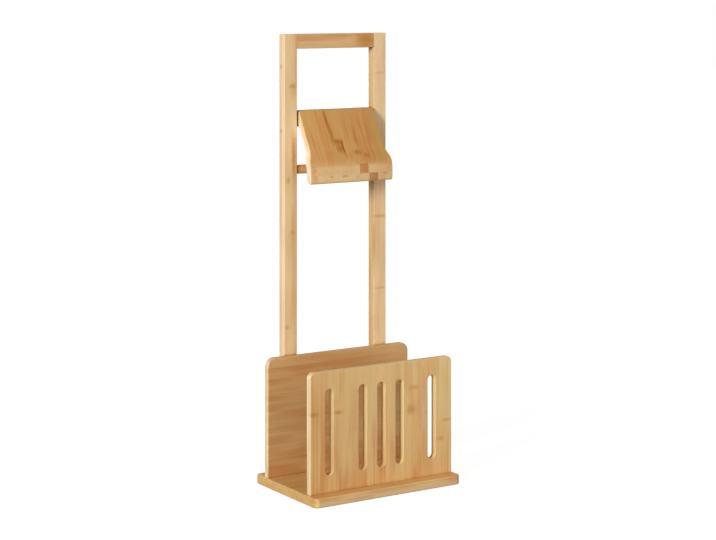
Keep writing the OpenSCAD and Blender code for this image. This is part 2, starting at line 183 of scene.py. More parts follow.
# Half the width of a cane joint's soft band, where the line in its middle is full, and where that ends
CANE_BAND = 8 * MM
CANE_LINE = (0.2 * MM, 1.6 * MM)

# Shares of the band and of the line in a cane joint, and the power that makes most joints faint
CANE_BAND_SHARE = 0.6
CANE_LINE_SHARE = 0.4
CANE_FAINTNESS = 2.0

# What is added to a wood's seed for how faint its cane joints are
CANE_SEED = 3

# Half the width of a glue line
GLUE_HALF = 0.5 * MM

# How far from a corner its painted shade reaches, and how open the air is where that is full and where it
# ends
CORNER_SHADE_REACH = 6 * MM
CORNER_SHADE_EASE = (0.45, 0.85)

# How deep a mark reaches, and the shares of its size at which it is full and ends
MARK_DEPTH = 9 * MM
MARK_EASE = (0.1, 1.0)

# How much the broad streaks and a rougher noise fray a mark's edge
MARK_FRAY_BROAD = 0.9
MARK_FRAY_ROUGH = 0.6

# What a mark of strength 1 multiplies the colour by, and the most that marks add up to
MARK_TINT = (0.56, 0.32, 0.12)
MARK_MOST = 1.15

# The cosines to a direction between which a face takes that direction's tint
FACING = (0.55, 0.85)

# How wide the edge is of a tint that begins at a distance
TINT_EDGE = 2 * MM

# How high broad streaks, fine streaks and glue lines stand, as shares of the lacquer's bump
BROAD_HEIGHT = 0.4
FINE_HEIGHT = 0.6
GLUE_HEIGHT = -0.5

# The lacquer's bump (strength, height), its roughness, what fine streaks add to that, and its gloss
LACQUER_BUMP = (0.18, 0.2 * MM)
LACQUER_ROUGH = 0.46
STREAK_ROUGH = 0.20
LACQUER_GLOSS = 0.22

# Brushed metal: waves per metre along X, what its lines add to its roughness, and its bump
BRUSHED_ALONG = 60
BRUSH_ROUGH = 0.22
BRUSH_BUMP = (0.15, 0.05 * MM)

# Tarnish: waves per metre, the values of its noise between which it grows, and its tint
TARNISH_WAVES = (120, 120, 120)
TARNISH_EASE = (0.35, 0.75)
TARNISH_TINT = (0.72, 0.72, 0.72)

# Rubber: waves per metre of its grain, its two colours, its roughness and its bump
RUBBER_WAVES = (2500, 2500, 2500)
RUBBER_DARK = srgb(88, 88, 90)
RUBBER_PALE = srgb(112, 112, 114)
RUBBER_ROUGH = 0.8
RUBBER_BUMP = (0.3, 0.1 * MM)


class Graph:
    """The nodes of a material or of the world. Sockets are passed about as plain values."""

    def __init__(self, name, owner=None):
        self.owner = owner or bpy.data.materials.new(name)
        self.owner.use_nodes = True
        self.tree = self.owner.node_tree
        self.tree.nodes.clear()

    def add(self, kind, settings=None, **inputs):
        """Adds a node and fills its inputs, whose names are written with _ for a space."""
        node = self.tree.nodes.new(kind)
        for key, value in (settings or {}).items():
            setattr(node, key, value)
        for key, value in inputs.items():
            self.feed(node.inputs[key.replace("_", " ")], value)
        return node

    def feed(self, socket, value):
        if isinstance(value, bpy.types.NodeSocket):
            self.tree.links.new(value, socket)
        else:
            socket.default_value = value

    def math(self, operation, *values, clamp=False):
        node = self.add("ShaderNodeMath", {"operation": operation, "use_clamp": clamp})
        for socket, value in zip(node.inputs, values):
            self.feed(socket, value)
        return node.outputs[0]

    def times(self, value, factor):
        return self.math("MULTIPLY", value, factor)

    def plus(self, total, value, factor):
        """The total and a factor times the value."""
        return self.math("MULTIPLY_ADD", value, factor, total)

    def centred(self, value):
        """A noise or a random value, moved so that its middle is nil."""
        return self.math("SUBTRACT", value, 0.5)

    def same(self, value, number):
        """1 where a whole-numbered value is that number, 0 elsewhere."""
        return self.math("COMPARE", value, float(number), 0.5)

    def dot(self, vector, direction):
        node = self.add("ShaderNodeVectorMath", {"operation": "DOT_PRODUCT"})
        self.feed(node.inputs[0], vector)
        self.feed(node.inputs[1], direction)
        return node.outputs["Value"]

    def vector(self, x, y, z):
        return self.add("ShaderNodeCombineXYZ", X=x, Y=y, Z=z).outputs[0]

    def ease(self, value, low, high, out_low=0.0, out_high=1.0):
        """Smooth step of value from low to high."""
        node = self.add(
            "ShaderNodeMapRange", {"interpolation_type": "SMOOTHSTEP"},
            Value=value, From_Min=low, From_Max=high, To_Min=out_low, To_Max=out_high,
        )
        return node.outputs[0]

    def fade(self, value, low, high):
        """Smooth step of value down from 1 at low to 0 at high."""
        return self.ease(value, low, high, 1.0, 0.0)

    def place_on_object(self, scale=None):
        """The point on the object in metres, or times a scale."""
        place = self.add("ShaderNodeTexCoord").outputs["Object"]
        if scale is None:
            return place
        return self.add("ShaderNodeMapping", Vector=place, Scale=scale).outputs[0]

    def noise(self, vector, detail, roughness=0.5):
        """Noise from about 0 to 1, with its middle at 0.5."""
        node = self.add(
            "ShaderNodeTexNoise", Vector=vector, Scale=1.0, Detail=detail, Roughness=roughness,
        )
        return node.outputs["Fac"]

    def random(self, vector):
        """Three random values from 0 to 1 for each whole-numbered vector."""
        noise = self.add("ShaderNodeTexWhiteNoise", {"noise_dimensions": "3D"}, Vector=vector)
        return self.add("ShaderNodeSeparateColor", Color=noise.outputs["Color"]).outputs[:3]

    def mix(self, factor, a, b, blend="MIX"):
        """Colour a at factor 0 and less, and b, or its blend with a, at factor 1 and more."""
        node = self.add("ShaderNodeMix", {"data_type": "RGBA", "blend_type": blend})
        self.feed(node.inputs["Factor"], factor)
        self.feed(node.inputs[6], a)
        self.feed(node.inputs[7], b)
        return node.outputs[2]

    def tinted(self, color, tint, where=1.0):
        """A colour multiplied by a tint of three numbers, where it holds."""
        return self.mix(where, color, tint + (1.0,), "MULTIPLY")

    def mix_shaders(self, factor, a, b):
        node = self.add("ShaderNodeMixShader")
        for socket, value in zip(node.inputs, (factor, a.outputs[0], b.outputs[0])):
            self.feed(socket, value)
        return node.outputs[0]

    def all_but_light(self):
        """1 for rays from the camera, in gloss and through glass, 0 for the rays that light things."""
        path = self.add("ShaderNodeLightPath").outputs
        seen = self.math("ADD", path["Is Camera Ray"], path["Is Glossy Ray"])
        return self.math("ADD", seen, path["Is Transmission Ray"], clamp=True)

    def bumped(self, strength, distance, height):
        """The surface's normal with a bump that is distance high."""
        bump = self.add("ShaderNodeBump", Strength=strength, Distance=distance, Height=height)
        return bump.outputs["Normal"]

    def surface(self, shader, output="ShaderNodeOutputMaterial"):
        self.tree.links.new(shader, self.add(output).inputs["Surface"])
        return self.owner


class Grain(Graph):
    """The nodes of bamboo: where a point lies in its strip and ply, and the noises along the grain."""

    def __init__(self, name, along, across, strip, ply, start, plies, seed):
        super().__init__(name)
        self.strip = strip
        self.ply = ply
        self.seed = seed
        self.place = self.place_on_object()
        self.directions = (along, across, along.cross(across))
        self.axes = [self.dot(self.place, direction) for direction in self.directions]

        self.ply_place = self.math("DIVIDE", self.math("SUBTRACT", self.axes[2], start[1]), ply)
        self.ply_index = self.math("FLOOR", self.ply_place)
        strip_place = self.math("DIVIDE", self.math("SUBTRACT", self.axes[1], start[0]), strip)
        for ply_number, _, slip in plies:
            strip_place = self.plus(strip_place, self.same(self.ply_index, ply_number), -slip / strip)
        self.strip_index = self.math("FLOOR", strip_place)
        self.within_strip = self.math("FRACT", strip_place)
        self.within_ply = self.math("FRACT", self.ply_place)
        self.chances = self.random(self.vector(self.strip_index, self.ply_index, seed))

        apart = self.times(self.chances[2], STREAK_SHIFT)
        self.broad = self.waves(*BROAD_STREAKS, apart)
        self.fine = self.waves(*FINE_STREAKS, apart)
        self.drift = self.waves(*DRIFT, apart)

    def waves(self, along, across, detail, roughness, apart=0.0):
        """Noise with so many waves per metre along and across the grain, moved by apart."""
        a, c, t = self.axes
        vector = self.vector(self.times(a, along), self.times(c, across), self.plus(apart, t, across))
        return self.noise(vector, detail, roughness)

    def strips(self, warmth, spread, own):
        """Each strip's tone, from olive (0) over plain (0.5) to orange (1), and how dark it is."""
        tone = self.plus(0.5 + warmth, self.centred(self.chances[0]), spread)
        dark = self.times(self.centred(self.chances[1]), STRIP_DARK * spread)
        for strip_number, ply_number, own_tone, own_dark in own:
            here = self.same(self.strip_index, strip_number)
            if ply_number is not None:
                here = self.times(here, self.same(self.ply_index, ply_number))
            tone = self.plus(tone, self.math("SUBTRACT", own_tone, tone), here)
            dark = self.plus(dark, self.math("SUBTRACT", own_dark, dark), here)
        # A strip is denser, and so darker, towards one of its sides
        side = self.times(self.centred(self.within_strip), self.centred(self.chances[2]))
        return tone, self.plus(dark, side, SIDE_DARK)

    def cane_joints(self):
        """One soft joint of the cane now and then along each strip, most of them faint."""
        place = self.plus(self.math("DIVIDE", self.axes[0], CANE_GAP), self.chances[2], CANE_SHIFT)
        offset = self.math("ABSOLUTE", self.centred(self.math("FRACT", place)))
        wander = self.times(self.centred(self.drift), CANE_WANDER)
        distance = self.math("ABSOLUTE", self.plus(wander, offset, CANE_GAP))
        band = self.times(self.fade(distance, 0.0, CANE_BAND), CANE_BAND_SHARE)
        band_and_line = self.plus(band, self.fade(distance, *CANE_LINE), CANE_LINE_SHARE)
        number = self.math("FLOOR", place)
        chances = self.random(self.vector(self.strip_index, number, self.seed + CANE_SEED))
        return self.times(band_and_line, self.math("POWER", chances[0], CANE_FAINTNESS))

    def glue_lines(self):
        """The glue lines between two strips and between two plies."""
        line = 0.0
        for within, size in ((self.within_strip, self.strip), (self.within_ply, self.ply)):
            edge = self.math("ABSOLUTE", self.centred(within))
            line = self.math("MAXIMUM", self.ease(edge, 0.5 - GLUE_HALF / size, 0.5), line)
        return line

    def corners(self):
        """Painted shade in the corners between two pieces, darker where ambient occlusion finds less open
        air.
        """
        air = self.add("ShaderNodeAmbientOcclusion", {"samples": 6}, Distance=CORNER_SHADE_REACH)
        return self.fade(air.outputs["AO"], *CORNER_SHADE_EASE)

    def shade(self, tone, dark):
        """Bamboo's colour by its tone and by how dark it is. It is pale where dark is less than nil."""
        color = self.mix(self.times(tone, 2.0), OLIVE, PLAIN)
        color = self.mix(self.plus(-1.0, tone, 2.0), color, ORANGE)
        color = self.mix(self.times(dark, -1.0), color, PALE)
        return self.mix(dark, color, JOINT_AND_SHADE_BROWN)

    def tint_plies(self, color, plies, soft):
        for number, tint, _ in plies:
            begun = self.ease(self.ply_place, number - soft, number + soft)
            not_over = self.fade(self.ply_place, number + 1 - soft, number + 1 + soft)
            color = self.tinted(color, tint, self.times(begun, not_over))
        return color

    def stain_and_shadow(self, color, marks):
        """The colour under marks, which are frayed ellipsoids and turn it orange before it is dark. On the
        rod, the mark is painted shadow.
        """
        ragged = self.times(self.centred(self.waves(*ROUGH_EDGE)), MARK_FRAY_ROUGH)
        ragged = self.plus(ragged, self.centred(self.broad), MARK_FRAY_BROAD)
        total = 0.0
        for centre, half_l, half_w, strength in marks:
            square = 0.0
            halves = (half_l, half_w, MARK_DEPTH)
            for value, direction, half in zip(self.axes, self.directions, halves):
                away = self.math("SUBTRACT", value, Vector(centre).dot(direction))
                away = self.math("DIVIDE", away, half)
                square = self.plus(square, away, away)
            reach = self.math("ADD", self.math("SQRT", square), ragged)
            total = self.plus(total, self.fade(reach, *MARK_EASE), strength)
        total = self.math("MINIMUM", total, MARK_MOST)
        tint = self.vector(*(self.math("POWER", value, total) for value in MARK_TINT))
        return self.mix(1.0, color, tint, "MULTIPLY")

    def tint_faces(self, color, faces):
        normal = self.add("ShaderNodeTexCoord").outputs["Normal"]
        for direction, tint, begin in faces:
            where = self.ease(self.dot(normal, direction), *FACING)
            if begin is not None:
                beyond = self.ease(self.dot(self.place, direction), begin - TINT_EDGE, begin)
                where = self.times(where, beyond)
            color = self.tinted(color, tint, where)
        return color

    def lacquered(self, color, glue):
        """The material of that colour, with a satin lacquer over a grain that can just be felt."""
        height = self.plus(self.times(self.broad, BROAD_HEIGHT), self.fine, FINE_HEIGHT)
        height = self.plus(height, glue, GLUE_HEIGHT)
        shader = self.add(
            "ShaderNodeBsdfPrincipled", Base_Color=color, Specular_IOR_Level=LACQUER_GLOSS,
            Roughness=self.plus(LACQUER_ROUGH, self.fine, STREAK_ROUGH),
            Normal=self.bumped(*LACQUER_BUMP, height),
        )
        return self.surface(shader.outputs[0])


def low_side(node, direction):
    """How far along a direction a node's box begins."""
    return min(corner.dot(direction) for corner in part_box(node))


def bamboo(name, node, along, across, strip, ply, seed, start=None, warmth=0.0, spread=0.32, cane=0.5,
           streaks=1.0, soft=0.05, tint=(1, 1, 1), plies=(), faces=(), lean=None, own=(), marks=()):
    """Laminated bamboo: strips side by side in plies, with streaks along the grain and cane joints.

    along and across are directions, strip and ply the width and the thickness of a strip. Strips and
    plies are counted from the low sides of the node's box, or else from start: a place across the
    strips and one through the plies. seed draws the strips.

    warmth moves every strip from olive towards orange. spread is how much the strips differ, cane how
    clear their joints are, and streaks how strong their streaks. tint multiplies the whole colour.
    plies gives single plies a tint and a sideways shift of their strips, and soft is how far one ply's
    tint fades into the next's. faces gives a tint to what faces a direction, on all of it (None) or
    from a distance on; every such tint here is painted light or shade on one side. lean is a vector
    along which the colour turns warmer and darker, and a place where it changes nothing. own gives
    single strips their own tone: strip, ply or None for every ply, tone, darkness. marks are brown
    spots, or on the rod a painted shadow: centre, half length along the grain, half width, strength.
    """
    if start is None:
        start = (low_side(node, across), low_side(node, along.cross(across)))
    g = Grain(name, along, across, strip, ply, start, plies, seed)
    tone, dark = g.strips(warmth, spread, own)
    tone = g.plus(tone, g.centred(g.broad), TONE_SWING * streaks)
    tone = g.plus(tone, g.centred(g.drift), TONE_SWING)
    if lean is not None:
        vector, middle = lean
        leaning = g.math("SUBTRACT", g.dot(g.place, vector), middle.dot(vector))
        tone = g.math("ADD", leaning, tone)
        dark = g.plus(dark, leaning, LEAN_DARK)

    glue = g.glue_lines()
    dark = g.plus(dark, g.cane_joints(), CANE_DARK * cane)
    dark = g.plus(dark, g.times(glue, g.ease(g.drift, *GLUE_EASE)), GLUE_DARK)
    dark = g.plus(dark, g.ease(g.fine, *FINE_EASE), STREAK_DARK)
    dark = g.plus(dark, g.ease(g.broad, *BROAD_EASE), STREAK_DARK * streaks)
    # Painted shade: the wood is darkened in corners and creases, where less light reaches
    dark = g.plus(dark, g.corners(), CORNER_SHADE_DARK)

    color = g.tinted(g.shade(tone, dark), tint)
    color = g.tint_plies(color, plies, soft)
    if marks:
        color = g.stain_and_shadow(color, marks)
    return g.lacquered(g.tint_faces(color, faces), glue)


def metal(name, color, roughness, brushed):
    """Plain metal with fine brushing along X, of brushed waves per metre, and a little tarnish."""
    g = Graph(name)
    lines = g.noise(g.place_on_object((BRUSHED_ALONG, brushed, brushed)), detail=2.0)
    tarnish = g.ease(g.noise(g.place_on_object(TARNISH_WAVES), detail=3.0), *TARNISH_EASE)
    shader = g.add(
        "ShaderNodeBsdfPrincipled", Base_Color=g.tinted(color, TARNISH_TINT, tarnish), Metallic=1.0,
        Roughness=g.plus(roughness, lines, BRUSH_ROUGH), Normal=g.bumped(*BRUSH_BUMP, lines),
    )
    return g.surface(shader.outputs[0])


def rubber(name):
    """Matt dark rubber with a fine moulded grain."""
    g = Graph(name)
    grain = g.noise(g.place_on_object(RUBBER_WAVES), detail=2.0)
    shader = g.add(
        "ShaderNodeBsdfPrincipled", Base_Color=g.mix(grain, RUBBER_DARK, RUBBER_PALE),
        Roughness=RUBBER_ROUGH, Normal=g.bumped(*RUBBER_BUMP, grain),
    )
    return g.surface(shader.outputs[0])


def dress(obj, material):
    obj.data.materials.clear()
    obj.data.materials.append(material)


def mesh_object(name, mesh):
    obj = bpy.data.objects.new(name, mesh)
    bpy.context.scene.collection.objects.link(obj)
    return obj


def finished(shape, name):
    """The mesh of a bmesh, which is freed."""
    mesh = bpy.data.meshes.new(name)
    shape.to_mesh(mesh)
    shape.free()
    return mesh


def smooth(mesh, angle=30):
    for polygon in mesh.polygons:
        polygon.use_smooth = True
    mesh.set_sharp_from_angle(angle=math.radians(angle))


def carve(obj, cutters):
    """Cuts the cutters, which are closed meshes, out of an object's mesh."""
    for cutter in cutters:
        tool = mesh_object("cutter", cutter)
        modifier = obj.modifiers.new("cut", "BOOLEAN")
        modifier.operation = "DIFFERENCE"
        modifier.solver = "EXACT"
        modifier.object = tool
        bpy.context.view_layer.update()
        cut = obj.evaluated_get(bpy.context.evaluated_depsgraph_get())
        done = bpy.data.meshes.new_from_object(cut)
        obj.modifiers.clear()
        obj.data = done
        bpy.data.objects.remove(tool)


def block(low, high, taper=1.0):
    """A box between two corners, whose top is narrowed by taper."""
    shape = bmesh.new()
    size = Vector(high) - Vector(low)
    middle = (Vector(high) + Vector(low)) / 2
    bmesh.ops.create_cube(shape, size=1.0)
    for vert in shape.verts:
        narrow = taper if vert.co.z > 0 else 1.0
        x, y, z = vert.co
        vert.co = Vector((x * size.x * narrow, y * size.y * narrow, z * size.z)) + middle
    return finished(shape, "block")


def solids(obj):
    """The boxes of the separate solids in a CAD node, as pairs of corners."""
    shape = bmesh.new()
    shape.from_mesh(obj.data)
    bmesh.ops.remove_doubles(shape, verts=shape.verts, dist=1e-6)
    seen = set()
    boxes = []
    for first in shape.verts:
        if first in seen:
            continue
        group = [first]
        seen.add(first)
        for vert in group:
            for edge in vert.link_edges:
                other = edge.other_vert(vert)
                if other not in seen:
                    seen.add(other)
                    group.append(other)
        axes = list(zip(*(vert.co for vert in group)))
        boxes.append([Vector([pick(values) for values in axes]) for pick in (min, max)])
    shape.free()
    return boxes


def ring(shape, radius, z, steps):
    """The points of a circle round the Z axis, or the one point on it where the radius is nil."""
    if radius == 0.0:
        return [shape.verts.new((0, 0, z))] * steps
    turns = [2 * math.pi * i / steps for i in range(steps)]
    return [shape.verts.new((radius * math.cos(turn), radius * math.sin(turn), z)) for turn in turns]


def screw_mesh(head_r, length):
    """A plain countersunk screw, its flat head at z = 0 and its shank towards +Z."""
    shank_r = head_r / 2
    rim = HEAD_RIM * head_r
    profile = [
        (0.0, 0.0),
        (HEAD_FLAT * head_r, 0.0),
        (head_r, HEAD_BEVEL * head_r),
        (head_r, rim),
        (shank_r, head_r - shank_r + rim),
        (shank_r, length - shank_r),
        (0.0, length),
    ]
    shape = bmesh.new()
    rings = [ring(shape, radius, z, SCREW_STEPS) for radius, z in profile]
    for lower, upper in zip(rings, rings[1:]):
        for i in range(SCREW_STEPS):
            j = (i + 1) % SCREW_STEPS
            corners = [lower[i], lower[j], upper[j], upper[i]]
            shape.faces.new(list(dict.fromkeys(corners)))
    bmesh.ops.recalc_face_normals(shape, faces=shape.faces)
    return finished(shape, "screw")


def cross_screw(head_r, length):
    """The mesh of a screw with the cross recess cut in."""
    screw = mesh_object("screw", screw_mesh(head_r, length))
    long = CROSS_L * head_r
    thin = CROSS_T * head_r
    deep = CROSS_DEPTH * head_r
    carve(screw, [
        block((-long, -thin, -deep), (long, thin, deep), CROSS_TAPER),
        block((-thin, -long, -deep), (thin, long, deep), CROSS_TAPER),
    ])
    mesh = screw.data
    bpy.data.objects.remove(screw)
    return mesh


def add_screws(node, head_side, material, body):
    """Screws with a cross recess in place of a node's plain ones. head_side is where their heads point."""
    boxes = solids(node)
    size = boxes[0][1] - boxes[0][0]
    along = max(range(3), key=lambda i: size[i])
    head_r = min(size[i] for i in range(3) if i != along) / 2
    sample = cross_screw(head_r, size[along])
    upright = (-head_side).to_track_quat("Z", "Y").to_matrix().to_4x4()
    shape = bmesh.new()
    for number, (low, high) in enumerate(boxes):
        head = (low + high) / 2
        head[along] = (high if head_side[along] > 0 else low)[along]
        known = len(shape.verts)
        shape.from_mesh(sample)
        shape.verts.ensure_lookup_table()
        turned = Matrix.Rotation(SCREW_TURN * number, 4, "Z")
        place = Matrix.Translation(head) @ upright @ turned
        for vert in shape.verts[known:]:
            vert.co = place @ vert.co
    mesh = finished(shape, node.name + "_cross")
    bpy.data.meshes.remove(sample)
    piece = mesh_object(node.name + "_cross", mesh)
    smooth(mesh)
    dress(piece, material)
    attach(piece, body)
    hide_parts(node.name)


def heading_point(start, heading, length):
    """A point further along a straight stretch of the cover's face, as (y, z)."""
    return (start[0] - length * math.sin(heading), start[1] - length * math.cos(heading))


def arc_point(start, first, last, radius):
    """A point further along an arc of the cover's face, as (y, z)."""
    turn = 1 if last > first else -1
    return (
        start[0] + turn * radius * (math.cos(last) - math.cos(first)),
        start[1] - turn * radius * (math.sin(last) - math.sin(first)),
    )


def rounding(height, radius, depth=None):
    """How far a rounded edge draws in at a height above its foot, where it draws in by depth in all."""
    full = radius if depth is None else radius * math.sin(math.acos(1 - depth / radius))
    drop = max(0.0, full - height)
    return radius - math.sqrt(max(0.0, radius * radius - drop * drop))


def quarter(radius, steps):
    """Points of a rounded edge, from one of its sides to the other, as distances from both."""
    turns = [math.pi / 2 * i / steps for i in range(steps + 1)]
    return [(radius * (1 - math.cos(turn)), radius * (1 - math.sin(turn))) for turn in turns]


class Cover:
    """The cover board as a rounded rectangle swept down its S-shaped section."""

    def __init__(self):
        low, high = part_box("cover")
        self.rear_y = high.y
        self.top_z = high.z
        self.foot_z = low.z
        self.lip_half_w = high.x
        self.half_w = self.lip_half_w - LIP_FLARE
        self.slope_top = (self.rear_y - HINGE_CHAMFER, self.top_z)
        self.slope_end = heading_point(self.slope_top, COVER_SLOPE, COVER_SLOPE_L)
        self.nose_start = arc_point(self.slope_end, COVER_SLOPE, NOSE_ANGLE, HOLLOW_R)
        self.lip_top = arc_point(self.nose_start, NOSE_ANGLE, 0.0, NOSE_R)
        self.flare_h = math.sqrt(4 * FLARE_R * LIP_FLARE - LIP_FLARE * LIP_FLARE)
        self.flare_z = self.nose_start[1] - FLARE_DROP - self.flare_h / 2

    def half_width(self, z):
        """Half of the cover's width at a height."""
        rise = z - self.flare_z
        if rise >= self.flare_h:
            return self.half_w
        if rise >= self.flare_h / 2:
            left = self.flare_h - rise
            return self.half_w + FLARE_R - math.sqrt(FLARE_R * FLARE_R - left * left)
        if rise >= 0:
            return self.lip_half_w - FLARE_R + math.sqrt(FLARE_R * FLARE_R - rise * rise)
        return self.lip_half_w - rounding(z - self.foot_z, LIP_EDGE_R)

    def rows(self):
        """The section's rows from the rear end to the foot.

        Each is a point of the face, its heading, how far a rounded edge draws the face in, and None.
        The first rows lie between the square rear end and the first one that is square to the face,
        and have their share of that way in place of None.
        """
        for i in range(REAR_STEPS):
            yield self.slope_top, COVER_SLOPE, 0.0, i / REAR_STEPS
        for i in range(SLOPE_STEPS + 1):
            length = REAR_RUN + (COVER_SLOPE_L - REAR_RUN) * i / SLOPE_STEPS
            yield heading_point(self.slope_top, COVER_SLOPE, length), COVER_SLOPE, 0.0, None
        for i in range(1, HOLLOW_STEPS + 1):
            heading = COVER_SLOPE + (NOSE_ANGLE - COVER_SLOPE) * i / HOLLOW_STEPS
            yield arc_point(self.slope_end, COVER_SLOPE, heading, HOLLOW_R), heading, 0.0, None
        for i in range(1, NOSE_STEPS + 1):
            heading = NOSE_ANGLE * (1 - i / NOSE_STEPS)
            yield arc_point(self.nose_start, NOSE_ANGLE, heading, NOSE_R), heading, 0.0, None
        for i in range(1, LIP_STEPS):
            z = self.lip_top[1] - (LIP_H - LIP_EDGE_R) * i / LIP_STEPS
            yield (self.lip_top[0], z), 0.0, 0.0, None
        for draw, above_foot in quarter(LIP_EDGE_R, FOOT_STEPS):
            yield (self.lip_top[0], self.foot_z + above_foot), 0.0, draw, None

    def rear_start(self, depth):
        """How far along the face a line at that depth leaves the chamfer or the square rear end."""
        sine = math.sin(COVER_SLOPE)
        cosine = math.cos(COVER_SLOPE)
        on_chamfer = depth * (cosine - sine) / (cosine + sine)
        on_rear = (depth * cosine - HINGE_CHAMFER) / sine
        return max(on_chamfer, on_rear)

    def side(self, draw, height):
        """Depths and draw-ins of the side's points from the front face round to the back face."""
        back = COVER_T - rounding(height, LIP_BACK_R, COVER_T - LIP_FOOT_T)
        arris = quarter(COVER_ARRIS_R, ARRIS_STEPS)
        flat = back - draw - 2 * COVER_ARRIS_R
        points = [(draw + depth, inset) for depth, inset in arris]
        for i in range(1, THROUGH_STEPS):
            points.append((draw + COVER_ARRIS_R + flat * i / THROUGH_STEPS, 0.0))
        points += [(back - depth, inset) for depth, inset in reversed(arris)]
        return points

    def rung(self, shape, start, heading, depth, inset):
        """The left and the right point at a depth below a point of the face."""
        y = start[0] + depth * math.cos(heading)
        z = start[1] - depth * math.sin(heading)
        half = self.half_width(z) - inset
        return [shape.verts.new((side * half, y, z)) for side in (-1, 1)]

    def mesh(self):
        shape = bmesh.new()
        ladders = []
        for face, heading, draw, share in self.rows():
            ladder = []
            for depth, inset in self.side(draw, face[1] - self.foot_z):
                start = face
                if share is not None:
                    first = self.rear_start(depth)
                    start = heading_point(face, heading, first + (REAR_RUN - first) * share)
                ladder.append(self.rung(shape, start, heading, depth, inset))
            ladders.append(ladder)
        for upper, lower in zip(ladders, ladders[1:]):
            for side in (0, 1):
                for k in range(len(upper) - 1):
                    corners = [upper[k], upper[k + 1], lower[k + 1], lower[k]]
                    shape.faces.new([rung[side] for rung in corners])
            for k in (0, -1):
                shape.faces.new([upper[k][0], upper[k][1], lower[k][1], lower[k][0]])
        for ladder in (ladders[0], ladders[-1]):
            for one, two in zip(ladder, ladder[1:]):
                shape.faces.new([one[0], one[1], two[1], two[0]])
        bmesh.ops.recalc_face_normals(shape, faces=shape.faces)
        return finished(shape, "cover_board")


def add_cover(material):
    """A finer cover board with rounded arrises, with the pockets of the hinges cut in."""
    form = Cover()
    cover = mesh_object("cover_board", form.mesh())
    pockets = []
    for name in ("left_hinge_cover_leaf", "right_hinge_cover_leaf"):
        low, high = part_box(name)
        pockets.append(block(
            (low.x - SEAT_GAP, form.rear_y - LEAF_T, low.z - SEAT_GAP),
            (high.x + SEAT_GAP, form.rear_y + LEAF_T, form.top_z + LEAF_T),
        ))
    carve(cover, pockets)
    smooth(cover.data)
    dress(cover, material)
    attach(cover, "cover")
    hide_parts("cover")


def add_sun(name, direction, energy, width):
    """A far lamp that shines from a direction of the frame. Its width is in degrees."""
    data = bpy.data.lights.new(name, "SUN")
    data.energy = energy
    data.angle = math.radians(width)
    sun = bpy.data.objects.new(name, data)
    sun.rotation_euler = Vector(direction).to_track_quat("Z", "Y").to_euler()
    bpy.context.scene.collection.objects.link(sun)


def light_world():
    """A world that lights most from the front left, and is white to all rays that don't light."""
    world = bpy.data.worlds.new("studio")
    bpy.context.scene.world = world
    g = Graph("studio", world)
    towards = g.dot(g.add("ShaderNodeTexCoord").outputs["Generated"], WORLD_TOWARDS)
    strength = g.ease(towards, *WORLD_EASE, WORLD_LOW, WORLD_HIGH)
    lit = g.add("ShaderNodeBackground", Color=WHITE, Strength=strength)
    shown = g.add("ShaderNodeBackground", Color=WHITE, Strength=1.0)
    g.surface(g.mix_shaders(g.all_but_light(), lit, shown), "ShaderNodeOutputWorld")


def floor_material():
    """Pale floor that lights the object as a floor does, and looks white apart from a soft shadow."""
    g = Graph("floor_pale")
    lit = g.add("ShaderNodeBsdfDiffuse", Color=FLOOR_LIT)
    seen = g.add("ShaderNodeBsdfDiffuse", Color=FLOOR_SEEN)
    glow = g.add("ShaderNodeEmission", Color=WHITE, Strength=FLOOR_GLOW)
    white = g.add("ShaderNodeAddShader")
    g.feed(white.inputs[0], seen.outputs[0])
    g.feed(white.inputs[1], glow.outputs[0])
    return g.surface(g.mix_shaders(g.all_but_light(), lit, white))


def add_floor():
    shape = bmesh.new()
    bmesh.ops.create_grid(shape, x_segments=4, y_segments=4, size=FLOOR_REACH)
    floor = mesh_object("floor", finished(shape, "floor"))
    dress(floor, floor_material())


def add_camera():
    data = bpy.data.cameras.new("camera")
    data.sensor_fit = "HORIZONTAL"
    data.sensor_width = SENSOR
    data.lens = FOCAL_PX / PHOTO_W * SENSOR
    data.shift_x = (PHOTO_W / 2 - AXIS_PX[0]) / PHOTO_W
    data.shift_y = (AXIS_PX[1] - PHOTO_H / 2) / PHOTO_W
    data.clip_end = CAMERA_REACH
    camera = bpy.data.objects.new("camera", data)
    camera.location = CAMERA_AT
    camera.rotation_euler = (math.pi / 2, 0, -CAMERA_HEADING)
    bpy.context.scene.collection.objects.link(camera)
    bpy.context.scene.camera = camera


# Marks that the photograph shows, in millimetres: x, z, half length along the grain, half width, strength
PANEL_MARKS = (
    (-90, 151, 6, 15, 0.34),
    (-138, 152, 6, 14, 0.30),
    (59, 138, 12, 14, 0.32),
    (136, 111.5, 4, 13, 0.32),
    (121, 80, 6, 13, 0.24),
    (-48, 183, 5, 10, 0.24),
    (66, 176, 7, 15, 0.22),
)
LEFT_MARKS = (
    (-89, 696, 5, 12, 0.30),
    (-88, 688, 24, 9, 0.18),
    (-88.5, 572, 50, 5, 0.40),
    (-99, 531, 8, 7, 0.24),
    (-90, 439, 7, 8, 0.18),
    (-102, 273, 7, 7, 0.26),
)
LEFT_SIDE_MARKS = (
    (-107, 730, 6, 8, 0.24),
    (-107, 617, 6, 8, 0.24),
)
RIGHT_MARKS = (
    (94.5, 456.5, 4, 20, 0.32),
    (94.5, 326, 3, 18, 0.26),
    (94.5, 715.5, 3, 18, 0.20),
    (82, 395, 60, 3, 0.30),
)
RAIL_MARKS = (
    (66, 775, 36, 26, 0.55),
    (20, 784, 60, 3, 0.16),
)
